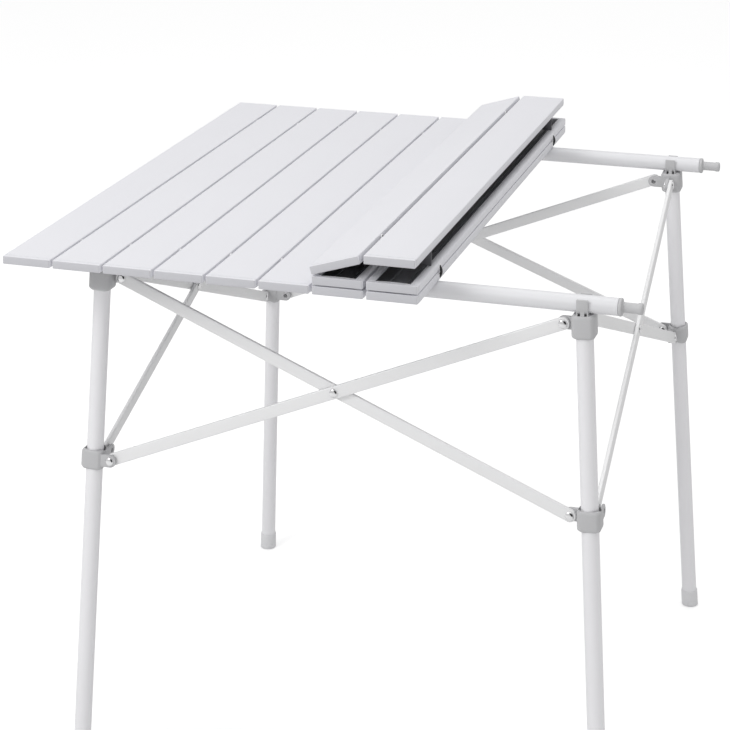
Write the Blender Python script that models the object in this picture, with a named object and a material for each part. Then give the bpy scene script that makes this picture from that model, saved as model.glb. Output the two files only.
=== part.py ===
"""Folding side table: a slatted roll-up top on two rails, over four splayed legs joined by scissor braces.

Metres, +Z up, X along the rails, Y along the slats. The origin is on the floor, under the middle of the
table's bounding box as it stands here, a little to the left of the middle of its frame. The top is half
rolled up: slats 1 to 8 lie on the rails, 9 and 10 are folded back over 8 and 7, and 11 and 12 are folded
forward again over those.
"""

import math

import bpy
from mathutils import Matrix, Vector

# The middle of the frame, from the origin
FRAME_X = 0.0102

# Slatted top
SLAT_COUNT = 12
SLAT_PITCH = 0.059
SLAT_GAP = 0.0033
SLAT_WIDTH = SLAT_PITCH - SLAT_GAP
SLAT_LENGTH = 0.698
SLAT_THICK = 0.009
SLAT_WALL = 0.0014
SLAT_EDGE = 0.0011
TOP_Z = 0.6285
TOP_LEFT_X = FRAME_X - SLAT_PITCH * SLAT_COUNT / 2
LAYER_GAP = 0.0015
LAST_FLAT_SLAT = 8
LAST_INVERTED_SLAT = 10
LIFTED_SLAT_ANGLE = math.radians(17.0)
FOLD_CLEARANCE = 0.00045

# Frame
CLEARANCE = 0.0003
TUBE_RADIUS = 0.00935
TUBE_WALL = 0.0012
LEG_SPLAY = 0.0475
LEG_OFFSET = 0.2735
LEG_OFFSET_Z = 0.5625
FOOT_HEIGHT = 0.0215
FOOT_RADIUS = 0.0107
FOOT_SOLE = 0.006

# Rails
RAIL_RADIUS = 0.0092
RAIL_WALL = 0.0013
RAIL_HALF_LENGTH = 0.306
RAIL_Y = 0.2718
RAIL_Z = TOP_Z - SLAT_THICK - CLEARANCE - RAIL_RADIUS
PLUG_FLANGE_RADIUS = 0.0096
PLUG_FLANGE_END = 0.312
PIN_RADIUS = 0.006
PIN_END = 0.3336

# Plastic connectors on the legs
BLOCK_HALF = 0.0124
BLOCK_CORNER = 0.0042
TOP_BLOCK_LOW = 0.5745
TOP_BLOCK_HIGH = 0.5998
CLIP_HALF_X = 0.0062
CLIP_WALL = 0.0026
CLIP_RISE = 0.0072
CLIP_SIDE_PLAY = 0.0010
COLLAR_LOW = 0.3703
COLLAR_HIGH = 0.3928
COLLAR_SLOT = 0.0028
COLLAR_HALF_ACROSS = 0.0138
COLLAR_HALF_ALONG = 0.0116
PIVOT_INBOARD = 0.0221
TOP_PIVOT_Z = 0.5875
LOW_PIVOT_Z = 0.3815
LUG_RADIUS = 0.0070
LUG_THICK = 0.0046
THIN_LUG = 0.0024
LOOSE_GAP = 0.0038
LOOSE_TOP_GAP = 0.0017

# Brace bars: each side has an inner and an outer flat bar
BAR_THICK = 0.0044
BAR_HALF_WIDTH = 0.0068
BAR_SIDE_GAP = 0.0002
RIVET_RADIUS = 0.0026
RIVET_HEAD_RADIUS = 0.0048
RIVET_HEAD_HEIGHT = 0.0019

# Brackets under the two end slats
BRACKET_HEIGHT = 0.0178
BRACKET_HALF_WIDTH = 0.0262
BRACKET_THICK = 0.0026
PAD_HALF_X = 0.0100
PAD_HALF_Y = 0.0060

CORNERS = {"front_left": (-1, -1), "front_right": (1, -1), "rear_right": (1, 1), "rear_left": (-1, 1)}
SIDES = {
    "front": ("front_left", "front_right"),
    "right": ("front_right", "rear_right"),
    "rear": ("rear_right", "rear_left"),
    "left": ("rear_left", "front_left"),
}


def clear_scene():
    for obj in list(bpy.data.objects):
        bpy.data.objects.remove(obj, do_unlink=True)


def material(name, colour, metallic, roughness):
    mat = bpy.data.materials.new(name)
    mat.use_nodes = True
    shader = mat.node_tree.nodes["Principled BSDF"]
    shader.inputs["Base Color"].default_value = (*colour, 1.0)
    shader.inputs["Metallic"].default_value = metallic
    shader.inputs["Roughness"].default_value = roughness
    mat.diffuse_color = (*colour, 1.0)
    return mat


def mesh_object(name, verts, faces, mat=None):
    mesh = bpy.data.meshes.new(name)
    mesh.from_pydata([tuple(v) for v in verts], [], faces)
    mesh.update()
    obj = bpy.data.objects.new(name, mesh)
    bpy.context.scene.collection.objects.link(obj)
    if mat:
        mesh.materials.append(mat)
    return obj


def prism(name, outline, frame, low, high, mat=None):
    """An outline in the first two axes of frame, given anticlockwise, extruded along the third."""
    count = len(outline)
    verts = [frame @ Vector((x, y, low)) for x, y in outline]
    verts += [frame @ Vector((x, y, high)) for x, y in outline]
    faces = [tuple(reversed(range(count))), tuple(range(count, 2 * count))]
    for i in range(count):
        j = (i + 1) % count
        faces.append((i, j, count + j, count + i))
    return mesh_object(name, verts, faces, mat)


def lathe(name, profile, frame, segments, mat=None):
    """A closed solid turned about the third axis of frame; its profile is (radius, height), low to high."""
    verts, faces, rings = [], [], []
    for radius, height in profile:
        if radius == 0:
            rings.append([len(verts)])
            verts.append(frame @ Vector((0, 0, height)))
            continue
        rings.append(list(range(len(verts), len(verts) + segments)))
        for i in range(segments):
            angle = 2 * math.pi * i / segments
            verts.append(frame @ Vector((radius * math.cos(angle), radius * math.sin(angle), height)))
    for low, high in zip(rings, rings[1:]):
        for i in range(segments):
            j = (i + 1) % segments
            if len(low) == 1:
                faces.append((low[0], high[j], high[i]))
            elif len(high) == 1:
                faces.append((low[i], low[j], high[0]))
            else:
                faces.append((low[i], low[j], high[j], high[i]))
    if len(rings[0]) > 1:
        faces.append(tuple(reversed(rings[0])))
    if len(rings[-1]) > 1:
        faces.append(tuple(rings[-1]))
    return mesh_object(name, verts, faces, mat)


def boolean(obj, other, operation):
    modifier = obj.modifiers.new(operation.title(), "BOOLEAN")
    modifier.operation = operation
    modifier.solver = "EXACT"
    modifier.object = other
    other.hide_render = True
    other.display_type = "WIRE"


def bevel(obj, width, segments=1, angle=40.0):
    modifier = obj.modifiers.new("Soft edges", "BEVEL")
    modifier.width = width
    modifier.segments = segments
    modifier.limit_method = "ANGLE"
    modifier.angle_limit = math.radians(angle)
    modifier.use_clamp_overlap = True


def frame_of(origin, third, first):
    """A frame with its third axis along third and its first axis as near to first as that allows."""
    third = Vector(third).normalized()
    first = Vector(first)
    first = (first - third * first.dot(third)).normalized()
    second = third.cross(first)
    frame = Matrix((first, second, third)).transposed().to_4x4()
    frame.translation = Vector(origin)
    return frame


def rectangle(half_x, half_y, centre=(0.0, 0.0)):
    cx, cy = centre
    low_x, high_x, low_y, high_y = cx - half_x, cx + half_x, cy - half_y, cy + half_y
    return [(low_x, low_y), (high_x, low_y), (high_x, high_y), (low_x, high_y)]


def chamfered(half_x, half_y, cut):
    """A rectangle with its four corners rounded off in two steps."""
    near = cut * 0.29
    quarter = [(half_x, half_y - cut), (half_x - near, half_y - near), (half_x - cut, half_y)]
    points = []
    for sx, sy, order in ((1, -1, -1), (1, 1, 1), (-1, 1, -1), (-1, -1, 1)):
        points += [(sx * x, sy * y) for x, y in quarter[::order]]
    return points


def stadium(start, end, radius, segments=10):
    """A bar outline round two centres."""
    start, end = Vector(start), Vector(end)
    heading = math.atan2(end.y - start.y, end.x - start.x)
    points = []
    for centre, turn in ((end, -math.pi / 2), (start, math.pi / 2)):
        for i in range(segments + 1):
            angle = heading + turn + math.pi * i / segments
            points.append((centre.x + radius * math.cos(angle), centre.y + radius * math.sin(angle)))
    return points


def leg_axis(corner, z):
    """The point of this leg's centre line at height z."""
    sx, sy = CORNERS[corner]
    offset = LEG_OFFSET + LEG_SPLAY * (LEG_OFFSET_Z - z)
    return Vector((FRAME_X + sx * offset, sy * offset, z))


def leg_frame(corner, z):
    """Third axis up the leg, first axis along X, at height z."""
    sx, sy = CORNERS[corner]
    return frame_of(leg_axis(corner, z), (-sx * LEG_SPLAY, -sy * LEG_SPLAY, 1), (1, 0, 0))


def along_leg(z, from_z):
    """How far up the leg the height z is from the height from_z."""
    return (z - from_z) * math.sqrt(1 + 2 * LEG_SPLAY ** 2)


def side_normal(side):
    left, right = SIDES[side]
    outward = (Vector(CORNERS[left]) + Vector(CORNERS[right])) / 2
    return Vector((outward.x, outward.y, LEG_SPLAY)).normalized()


def side_right(side):
    """From the left leg to the right leg of a side seen from outside."""
    left, right = (Vector(CORNERS[c]) for c in SIDES[side])
    return Vector(((right - left).x, (right - left).y, 0)).normalized()


def pivot(side, corner, z):
    """A rivet centre on this side, in the plane of the two leg centre lines."""
    inward = side_right(side) * (1 if corner == SIDES[side][0] else -1)
    return leg_axis(corner, z) + inward * PIVOT_INBOARD


def side_frame(side):
    """First axis to the right as seen from outside, second axis up the side, third axis outward."""
    middle = (leg_axis(SIDES[side][0], LOW_PIVOT_Z) + leg_axis(SIDES[side][1], LOW_PIVOT_Z)) / 2
    return frame_of(middle, side_normal(side), side_right(side))


def in_side(side, point):
    local = side_frame(side).inverted() @ point
    return local.x, local.y


def bar_ends(side, bar):
    """(upper pivot, lower pivot) of the inner or outer bar of a side."""
    left, right = SIDES[side]
    if bar == "inner":
        return pivot(side, left, TOP_PIVOT_Z), pivot(side, right, LOW_PIVOT_Z)
    return pivot(side, right, TOP_PIVOT_Z), pivot(side, left, LOW_PIVOT_Z)


def crossing(side):
    """Where the two bars of a side cross."""
    a, b = (Vector(in_side(side, p)) for p in bar_ends(side, "inner"))
    c, d = (Vector(in_side(side, p)) for p in bar_ends(side, "outer"))
    r, s = b - a, d - c
    t = ((c - a).x * s.y - (c - a).y * s.x) / (r.x * s.y - r.y * s.x)
    return side_frame(side) @ Vector((*(a + r * t), 0))


def bar_layer(bar):
    """(inner face, outer face) of a bar, measured outward from the plane of the legs."""
    if bar == "outer":
        return BAR_SIDE_GAP, BAR_SIDE_GAP + BAR_THICK
    return -BAR_SIDE_GAP - BAR_THICK, -BAR_SIDE_GAP


def lug_room(side, corner, level):
    """(gap to the bar, thickness) of a lug. A joint with a spacer washer has a thinner lug, further away."""
    if level == "top":
        return (LOOSE_TOP_GAP if (side, corner) == ("rear", "rear_right") else CLEARANCE), LUG_THICK
    if side == "front" or (side, corner) in (("left", "rear_left"), ("right", "rear_right")):
        return CLEARANCE, LUG_THICK
    return LOOSE_GAP, THIN_LUG


def lug_layer(side, corner, level):
    """(inner face, outer face) of a bar end's lug: behind its bar, or in front of it at the low left."""
    left = corner == SIDES[side][0]
    bar = "inner" if left == (level == "top") else "outer"
    low, high = bar_layer(bar)
    gap, thick = lug_room(side, corner, level)
    if level == "low" and left:
        return high + gap, high + gap + thick
    return low - gap - thick, low - gap


def sides_of(corner):
    return [side for side, pair in SIDES.items() if corner in pair]


# ---- the slatted top -------------------------------------------------------------------------

def slat_place(number):
    """A slat's frame: origin at the middle of its top face, first axis across it, third axis out of it."""
    flat_x = TOP_LEFT_X + SLAT_PITCH * (number - 1) + SLAT_WIDTH / 2
    place = Matrix.Translation((flat_x, 0, TOP_Z))
    if number <= LAST_FLAT_SLAT:
        return place
    place = turn_about(*fold_line_right()[:2], math.pi) @ place
    if number <= LAST_INVERTED_SLAT:
        return place
    x, z = fold_line_left()
    place = turn_about(x, z, -math.pi + LIFTED_SLAT_ANGLE) @ place
    if number == LAST_INVERTED_SLAT + 1:
        return place
    return turn_about(*fold_line_lifted(), -LIFTED_SLAT_ANGLE) @ place


def turn_about(x, z, angle):
    """A turn that lifts the +X side for a positive angle, about a line along Y."""
    centre = Matrix.Translation((x, 0, z))
    return centre @ Matrix.Rotation(-angle, 4, "Y") @ centre.inverted()


def fold_line_right():
    """The line that slats 9 and 10 fold over about."""
    return TOP_LEFT_X + SLAT_PITCH * LAST_FLAT_SLAT - SLAT_GAP / 2, TOP_Z + LAYER_GAP / 2


def fold_line_left():
    """The line that slat 11 folds back about, at the left edge of slat 10."""
    x, z = fold_line_right()
    flat_x = TOP_LEFT_X + SLAT_PITCH * LAST_INVERTED_SLAT - SLAT_GAP / 2
    flat_z = TOP_Z - SLAT_THICK - FOLD_CLEARANCE
    return 2 * x - flat_x, 2 * z - flat_z


def fold_line_lifted():
    """The line between slats 11 and 12, raised by the tilt of slat 11."""
    x, z = fold_line_left()
    return x + SLAT_PITCH * math.cos(LIFTED_SLAT_ANGLE), z + SLAT_PITCH * math.sin(LIFTED_SLAT_ANGLE)


def make_slat(number, mat):
    """A shallow channel, open underneath, with closed ends."""
    place = slat_place(number)
    name = f"slat_{number:02d}"
    body = prism(name, rectangle(SLAT_WIDTH / 2, SLAT_LENGTH / 2), place, -SLAT_THICK, 0, mat)
    bevel(body, SLAT_EDGE, 2)
    pocket = rectangle(SLAT_WIDTH / 2 - SLAT_WALL, SLAT_LENGTH / 2 - 2 * SLAT_WALL)
    cutter = prism(name + "_pocket", pocket, place, -2 * SLAT_THICK, -SLAT_WALL)
    boolean(body, cutter, "DIFFERENCE")


def make_bracket(number, rear, mat):
    """A hanging plate on the outer side of the rail, with a pad that rests on the rail pin."""
    place = slat_place(number)
    sign = 1 if rear else -1
    base = -SLAT_THICK
    name = f"slat_bracket_{number:02d}_{'rear' if rear else 'front'}"
    plate_y = sign * (RAIL_Y + PLUG_FLANGE_RADIUS + 0.0005 + BRACKET_THICK / 2)
    outline = rectangle(BRACKET_HALF_WIDTH, BRACKET_THICK / 2, (0, plate_y))
    plate = prism(name, outline, place, base - BRACKET_HEIGHT, base - CLEARANCE, mat)
    pin_x = (PLUG_FLANGE_END + PIN_END) / 2 - (SLAT_PITCH * SLAT_COUNT - SLAT_WIDTH) / 2
    pin_x += SLAT_GAP if number == SLAT_COUNT else 0
    pad_inner, pad_outer = sign * (RAIL_Y - PAD_HALF_Y), plate_y
    pad_centre = (pin_x if number == SLAT_COUNT else -pin_x, (pad_inner + pad_outer) / 2)
    pad_low = RAIL_Z + PIN_RADIUS + CLEARANCE - TOP_Z
    pad_outline = rectangle(PAD_HALF_X, abs(pad_outer - pad_inner) / 2, pad_centre)
    pad = prism(name + "_pad", pad_outline, place, pad_low, base - CLEARANCE)
    boolean(plate, pad, "UNION")
    bevel(plate, 0.0004)


# ---- rails -----------------------------------------------------------------------------------

def rail_frame(rear, right):
    return frame_of((FRAME_X, RAIL_Y if rear else -RAIL_Y, RAIL_Z), (1 if right else -1, 0, 0), (0, 0, 1))


def make_rail(rear, mat):
    name = "rail_rear" if rear else "rail_front"
    frame = rail_frame(rear, True)
    tube = lathe(name, [(RAIL_RADIUS, -RAIL_HALF_LENGTH), (RAIL_RADIUS, RAIL_HALF_LENGTH)], frame, 32, mat)
    inner = RAIL_RADIUS - RAIL_WALL
    length = RAIL_HALF_LENGTH + 0.01
    boolean(tube, lathe(name + "_bore", [(inner, -length), (inner, length)], frame, 32), "DIFFERENCE")


def make_plug(rear, right, mat):
    """A rail end plug: a stub inside the tube, a flange over its end and a pin with a collar at its tip."""
    name = f"rail_plug_{'rear' if rear else 'front'}_{'right' if right else 'left'}"
    stub = RAIL_RADIUS - RAIL_WALL - CLEARANCE
    start = RAIL_HALF_LENGTH + CLEARANCE
    profile = [
        (stub, RAIL_HALF_LENGTH - 0.014),
        (stub, start),
        (PLUG_FLANGE_RADIUS - 0.0008, start),
        (PLUG_FLANGE_RADIUS, start + 0.0008),
        (PLUG_FLANGE_RADIUS, PLUG_FLANGE_END - 0.0012),
        (PLUG_FLANGE_RADIUS - 0.0012, PLUG_FLANGE_END),
        (PIN_RADIUS - 0.0006, PLUG_FLANGE_END),
        (PIN_RADIUS - 0.0006, PIN_END - 0.0055),
        (PIN_RADIUS, PIN_END - 0.0045),
        (PIN_RADIUS, PIN_END - 0.001),
        (PIN_RADIUS - 0.001, PIN_END),
    ]
    lathe(name, profile, rail_frame(rear, right), 24, mat)


# ---- legs ------------------------------------------------------------------------------------

def make_leg_tube(corner, mat):
    name = f"leg_tube_{corner}"
    frame = leg_frame(corner, FOOT_SOLE)
    top = along_leg(TOP_BLOCK_HIGH - 0.006, FOOT_SOLE)
    low = CLEARANCE + FOOT_RADIUS * LEG_SPLAY
    tube = lathe(name, [(TUBE_RADIUS, low), (TUBE_RADIUS, top)], frame, 32, mat)
    inner = TUBE_RADIUS - TUBE_WALL
    boolean(tube, lathe(name + "_bore", [(inner, -0.02), (inner, top + 0.02)], frame, 32), "DIFFERENCE")


def make_foot(corner, mat):
    """A cup over the tube end, with its sole flat on the floor."""
    name = f"foot_{corner}"
    frame = leg_frame(corner, FOOT_SOLE)
    rim = along_leg(FOOT_HEIGHT, FOOT_SOLE)
    profile = [(FOOT_RADIUS, -0.02), (FOOT_RADIUS, rim - 0.001), (FOOT_RADIUS - 0.0008, rim)]
    foot = lathe(name, profile, frame, 32, mat)
    bore = TUBE_RADIUS + CLEARANCE
    floor_x, floor_y = leg_axis(corner, 0).xy
    drill = lathe(name + "_bore", [(bore, FOOT_RADIUS * LEG_SPLAY), (bore, rim + 0.02)], frame, 32)
    boolean(foot, drill, "DIFFERENCE")
    under = prism(name + "_floor", rectangle(0.05, 0.05, (floor_x, floor_y)), Matrix.Identity(4), -0.06, 0)
    boolean(foot, under, "DIFFERENCE")


def add_lugs(block, corner, level, z):
    """Two lugs that reach inward along the two sides of this corner, each drilled for its rivet."""
    for side in sides_of(corner):
        frame = side_frame(side)
        hole = pivot(side, corner, z)
        x, y = in_side(side, hole)
        axis_x, _ = in_side(side, leg_axis(corner, z))
        root_x = axis_x + (x - axis_x) * 0.52
        low, high = lug_layer(side, corner, level)
        name = f"{block.name}_{side}_lug"
        lug = prism(name, stadium((root_x, y), (x, y), LUG_RADIUS, 8), frame, low, high)
        drill_frame = frame_of(hole, side_normal(side), side_right(side))
        drill_radius = RIVET_RADIUS + CLEARANCE
        profile = [(drill_radius, low - 0.01), (drill_radius, high + 0.01)]
        drill = lathe(name + "_drill", profile, drill_frame, 20)
        boolean(block, lug, "UNION")
        boolean(block, drill, "DIFFERENCE")


def make_top_connector(corner, mat):
    """A block over the tube end, with two lugs for the braces and an open cradle that the rail lies in."""
    name = f"top_connector_{corner}"
    frame = leg_frame(corner, TOP_BLOCK_LOW)
    height = along_leg(TOP_BLOCK_HIGH, TOP_BLOCK_LOW)
    block = prism(name, chamfered(BLOCK_HALF, BLOCK_HALF, BLOCK_CORNER), frame, 0, height, mat)
    bevel(block, 0.0009)
    add_lugs(block, corner, "top", TOP_PIVOT_Z)
    socket = TUBE_RADIUS + CLEARANCE
    depth = height - 0.006 + CLEARANCE
    boolean(block, lathe(name + "_socket", [(socket, -0.01), (socket, depth)], frame, 32), "DIFFERENCE")
    add_cradle(block, corner)


def add_cradle(block, corner):
    """The U-shaped cradle under the rail, open upward. The right legs swing a little to one side as they
    leave the rails, so their cradles have side play."""
    sx, sy = CORNERS[corner]
    inner = RAIL_RADIUS + CLEARANCE
    outer = inner + CLIP_WALL
    half_width = inner + (CLIP_SIDE_PLAY if sx > 0 else 0)
    frame = frame_of((leg_axis(corner, TOP_BLOCK_HIGH).x, sy * RAIL_Y, RAIL_Z), (1, 0, 0), (0, 1, 0))
    trough = u_shape(outer, outer, CLIP_RISE, 16)
    shell = prism(block.name + "_cradle", trough, frame, -CLIP_HALF_X, CLIP_HALF_X)
    room = prism(block.name + "_rail_room", u_shape(half_width, inner, 0.03, 20), frame, -0.03, 0.03)
    boolean(block, shell, "UNION")
    boolean(block, room, "DIFFERENCE")


def u_shape(half_width, depth, rise, segments):
    """A round-bottomed trough outline, open side up, its sides going up to rise."""
    arc = [(half_width * math.cos(a), depth * math.sin(a))
           for a in (-math.pi * i / segments for i in range(segments, -1, -1))]
    return [(-half_width, rise)] + arc + [(half_width, rise)]


def make_collar(corner, mat):
    """A collar that slides on the leg, with two lugs. Its slotted bore allows for the leg's changing tilt."""
    name = f"sliding_collar_{corner}"
    frame = leg_frame(corner, COLLAR_LOW)
    height = along_leg(COLLAR_HIGH, COLLAR_LOW)
    slot_x, slot_y = COLLAR_SLOT, 0
    half_x, half_y = COLLAR_HALF_ACROSS, COLLAR_HALF_ALONG
    if corner.startswith("rear"):
        slot_x, slot_y = slot_y, slot_x
        half_x, half_y = half_y, half_x
    block = prism(name, chamfered(half_x, half_y, BLOCK_CORNER * 0.8), frame, 0, height, mat)
    bevel(block, 0.0009)
    add_lugs(block, corner, "low", LOW_PIVOT_Z)
    bore = TUBE_RADIUS + CLEARANCE
    hole = stadium((-slot_x, -slot_y), (slot_x, slot_y), bore, 18)
    boolean(block, prism(name + "_bore", hole, frame, -0.01, height + 0.01), "DIFFERENCE")


# ---- braces ----------------------------------------------------------------------------------

def make_bar(side, bar, mat):
    """A flat bar with round ends, drilled at both ends and at the crossing."""
    name = f"brace_{side}_{bar}"
    frame = side_frame(side)
    top, low = (in_side(side, p) for p in bar_ends(side, bar))
    inner_face, outer_face = bar_layer(bar)
    body = prism(name, stadium(top, low, BAR_HALF_WIDTH), frame, inner_face, outer_face, mat)
    bevel(body, 0.0006)
    centres = {"top": top, "low": low, "crossing": in_side(side, crossing(side))}
    for place, (x, y) in centres.items():
        at = frame_of(frame @ Vector((x, y, 0)), side_normal(side), side_right(side))
        radius = RIVET_RADIUS + CLEARANCE
        drill = lathe(f"{name}_{place}_drill", [(radius, -0.02), (radius, 0.02)], at, 20)
        boolean(body, drill, "DIFFERENCE")


def make_rivet(name, side, centre, low, high, mat):
    """A domed rivet with a head outside each of the two outer faces, low and high."""
    frame = frame_of(centre, side_normal(side), side_right(side))
    low -= CLEARANCE
    high += CLEARANCE
    head, tall = RIVET_HEAD_RADIUS, RIVET_HEAD_HEIGHT
    profile = [
        (0, low - tall), (head * 0.62, low - tall * 0.8), (head, low - tall * 0.25), (head, low),
        (RIVET_RADIUS, low), (RIVET_RADIUS, high),
        (head, high), (head, high + tall * 0.25), (head * 0.62, high + tall * 0.8), (0, high + tall),
    ]
    lathe(name, profile, frame, 20, mat)


def make_side_rivets(side, mat):
    inner, outer = bar_layer("inner"), bar_layer("outer")
    make_rivet(f"rivet_cross_{side}", side, crossing(side), inner[0], outer[1], mat)
    for corner, bar in zip(SIDES[side], ("inner", "outer")):
        lug, layer = lug_layer(side, corner, "top"), bar_layer(bar)
        if side == "rear" and bar == "inner":
            make_stub_rivet(side, corner, layer, mat)
        else:
            centre = pivot(side, corner, TOP_PIVOT_Z)
            make_rivet(f"rivet_top_{side}_{corner}", side, centre, lug[0], layer[1], mat)


def make_stub_rivet(side, corner, layer, mat):
    """A rivet with only an outer head, whose shank ends inside its bar."""
    frame = frame_of(pivot(side, corner, TOP_PIVOT_Z), side_normal(side), side_right(side))
    head, tall, high = RIVET_HEAD_RADIUS, RIVET_HEAD_HEIGHT, layer[1] + CLEARANCE
    profile = [
        (RIVET_RADIUS, layer[0] + CLEARANCE), (RIVET_RADIUS, high),
        (head, high), (head, high + tall * 0.25), (head * 0.62, high + tall * 0.8), (0, high + tall),
    ]
    lathe(f"rivet_top_{side}_{corner}", profile, frame, 20, mat)


def main():
    clear_scene()
    slat = material("Coated aluminium slat", (0.80, 0.81, 0.83), 0.35, 0.42)
    tube = material("Anodised aluminium tube", (0.70, 0.71, 0.73), 0.80, 0.34)
    bar = material("Aluminium bar", (0.74, 0.75, 0.77), 0.75, 0.38)
    plastic = material("Grey plastic", (0.46, 0.47, 0.49), 0.0, 0.48)
    foot = material("Foot plastic", (0.44, 0.45, 0.47), 0.0, 0.55)
    steel = material("Bright rivet", (0.85, 0.86, 0.88), 1.0, 0.16)
    for number in range(1, SLAT_COUNT + 1):
        make_slat(number, slat)
    for number in (1, SLAT_COUNT):
        for rear in (False, True):
            make_bracket(number, rear, plastic)
    for rear in (False, True):
        make_rail(rear, tube)
        for right in (False, True):
            make_plug(rear, right, plastic)
    for corner in CORNERS:
        make_leg_tube(corner, tube)
        make_foot(corner, foot)
        make_top_connector(corner, plastic)
        make_collar(corner, plastic)
    for side in SIDES:
        for which in ("inner", "outer"):
            make_bar(side, which, bar)
        make_side_rivets(side, steel)


main()
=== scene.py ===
"""Looks for the folding side table: slats with end caps and cords, tube legs, moulded connectors, braces."""

import math

import bmesh
import bpy
from mathutils import Matrix, Vector


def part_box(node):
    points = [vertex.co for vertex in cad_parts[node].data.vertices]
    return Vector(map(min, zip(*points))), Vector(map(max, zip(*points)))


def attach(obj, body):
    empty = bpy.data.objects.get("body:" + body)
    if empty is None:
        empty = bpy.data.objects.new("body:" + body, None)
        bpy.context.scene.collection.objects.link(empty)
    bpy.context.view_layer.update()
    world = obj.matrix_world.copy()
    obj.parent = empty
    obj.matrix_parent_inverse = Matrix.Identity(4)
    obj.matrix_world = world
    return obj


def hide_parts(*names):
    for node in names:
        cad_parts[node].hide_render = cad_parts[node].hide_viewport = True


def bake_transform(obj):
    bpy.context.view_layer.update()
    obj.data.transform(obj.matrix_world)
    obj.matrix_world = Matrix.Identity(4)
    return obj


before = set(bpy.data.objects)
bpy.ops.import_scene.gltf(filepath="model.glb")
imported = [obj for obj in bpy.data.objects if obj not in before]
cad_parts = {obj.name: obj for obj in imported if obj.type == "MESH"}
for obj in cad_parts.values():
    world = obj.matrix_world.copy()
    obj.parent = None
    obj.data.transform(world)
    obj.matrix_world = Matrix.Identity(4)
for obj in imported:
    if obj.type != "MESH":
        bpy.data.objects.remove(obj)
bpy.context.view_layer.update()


def micron(value):
    return round(value, 6)


def cad_box(node):
    """The lowest and highest corners of a CAD node, to the micron."""
    return [[micron(v) for v in corner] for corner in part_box(node)]


# ---- sizes, in metres ------------------------------------------------------------------------

# From the CAD solids: the slats, the rails and the middle of the leg frame
SLAT_LOW, SLAT_HIGH = cad_box("slat_01")
RAIL_LOW, RAIL_HIGH = cad_box("rail_front")
LEFT_X, TOP_Z = SLAT_LOW[0], SLAT_HIGH[2]
WIDTH, LENGTH, THICK = (micron(high - low) for low, high in zip(SLAT_LOW, SLAT_HIGH))
PITCH = micron(cad_box("slat_02")[0][0] - LEFT_X)
GAP = micron(PITCH - WIDTH)
FRAME_X = micron(LEFT_X + 6 * PITCH)
RAIL_Y = micron(-(RAIL_LOW[1] + RAIL_HIGH[1]) / 2)
RAIL_Z = micron((RAIL_LOW[2] + RAIL_HIGH[2]) / 2)
RAIL_R = micron((RAIL_HIGH[2] - RAIL_LOW[2]) / 2)
PIN_END = micron(cad_box("rail_plug_front_right")[1][0] - FRAME_X)

# The same as in the CAD part, where a solid's box doesn't show them
LAYER_GAP, TILT, FOLD_CLEARANCE = 0.0015, math.radians(17.0), 0.00045
SLAT_WALL, RAIL_WALL, TUBE_WALL = 0.0014, 0.0013, 0.0012
SPLAY, LEG_OFFSET, LEG_OFFSET_Z, TUBE_R = 0.0475, 0.2735, 0.5625, 0.00935
LEG_LOW, BLOCK_LOW, BLOCK_HIGH, COLLAR_LOW, COLLAR_HIGH = 0.006, 0.5745, 0.5998, 0.3703, 0.3928
FLANGE_END, PIN_R = 0.312, 0.006
BLOCK_HALF, LUG_R, CLIP_HALF, CLIP_RISE = 0.0124, 0.0070, 0.0062, 0.0072
FOOT_R, FOOT_HIGH = 0.0107, 0.0215
INBOARD, TOP_PIVOT_Z, LOW_PIVOT_Z = 0.0221, 0.5875, 0.3815
BAR_T, BAR_HALF, BAR_GAP = 0.0044, 0.0068, 0.0002
LUG_T, THIN_LUG, CLEAR, LOOSE, LOOSE_TOP = 0.0046, 0.0024, 0.0003, 0.0038, 0.0017
RIVET_R, HEAD_R, HEAD_H = 0.0026, 0.0048, 0.0019

# Only in this model, or finer than in the CAD part
RAIL_HALF = 0.3082
SHOULDER_R, SLAT_CHAMFER, FLANGE_IN, FLANGE_T = 0.0009, 0.0004, 0.0090, 0.0011
RIB_NEAR, RIB_FAR, RIB_DEEP = 0.0088, 0.0098, 0.0022
CAP_LENGTH, CAP_INSET, CAP_SEAM, CAP_DROP, CAP_CORNER = 0.0055, 0.0001, 0.00006, 0.00003, 0.0014
LEDGE_BOW, LEDGE_STEPS, LEDGE_GAP = 0.0016, 10, 0.0002
LEDGE_LOW, LEDGE_HIGH, LEDGE_ROOT = 0.0002, 0.0016, 0.0015
# How squarely a cap face must point along the slat to take the darker painted shade
PAINTED_SHADE_FACING = 0.7
CORD_Y, CORD_R, CORD_LEVEL = 0.2695, 0.0015, -THICK * 0.52
CORD_INSIDE, CORD_OUTSIDE = 0.0016, 0.0009
CORD_BULGE = {8: (0.0016, (0.2, 0.35, 0.5, 0.65, 0.8)), 10: (-0.0022, (0.2, 0.4, 0.6, 0.8))}
EYELET_IN = 0.0002
EYELET_PROFILE = ((0.0034, 0), (0.0034, 0.0008), (0.0030, 0.0014), (0.0022, 0.0014), (0.0018, 0.0008),
                  (0.0018, 0))
PLATE_HALF_X, PLATE_HALF_T, PLATE_DEEP, PLATE_OUT = 0.0262, 0.0013, 0.0178, 0.0114
PAD_HALF, PAD_IN = 0.010, 0.006
FOOT_SOLE, TUBE_START, CLIP_WALL = 0.0006, 0.0009, 0.0027
COLLAR_WIDE, COLLAR_SLIM = 0.0127, 0.0116
BLOCK_CUT, BLOCK_SOFT, EDGE_IN, EDGE_HIGH, EDGE_STEPS = 0.0036, 0.0010, 0.0026, 0.0042, 6
COLLAR_SLOT, SLOT_ROOM, SOCKET_ROOM, SOCKET_ROOF = 0.0026, 0.0003, 0.0001, 0.0055
LUG_START = 0.45
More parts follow.
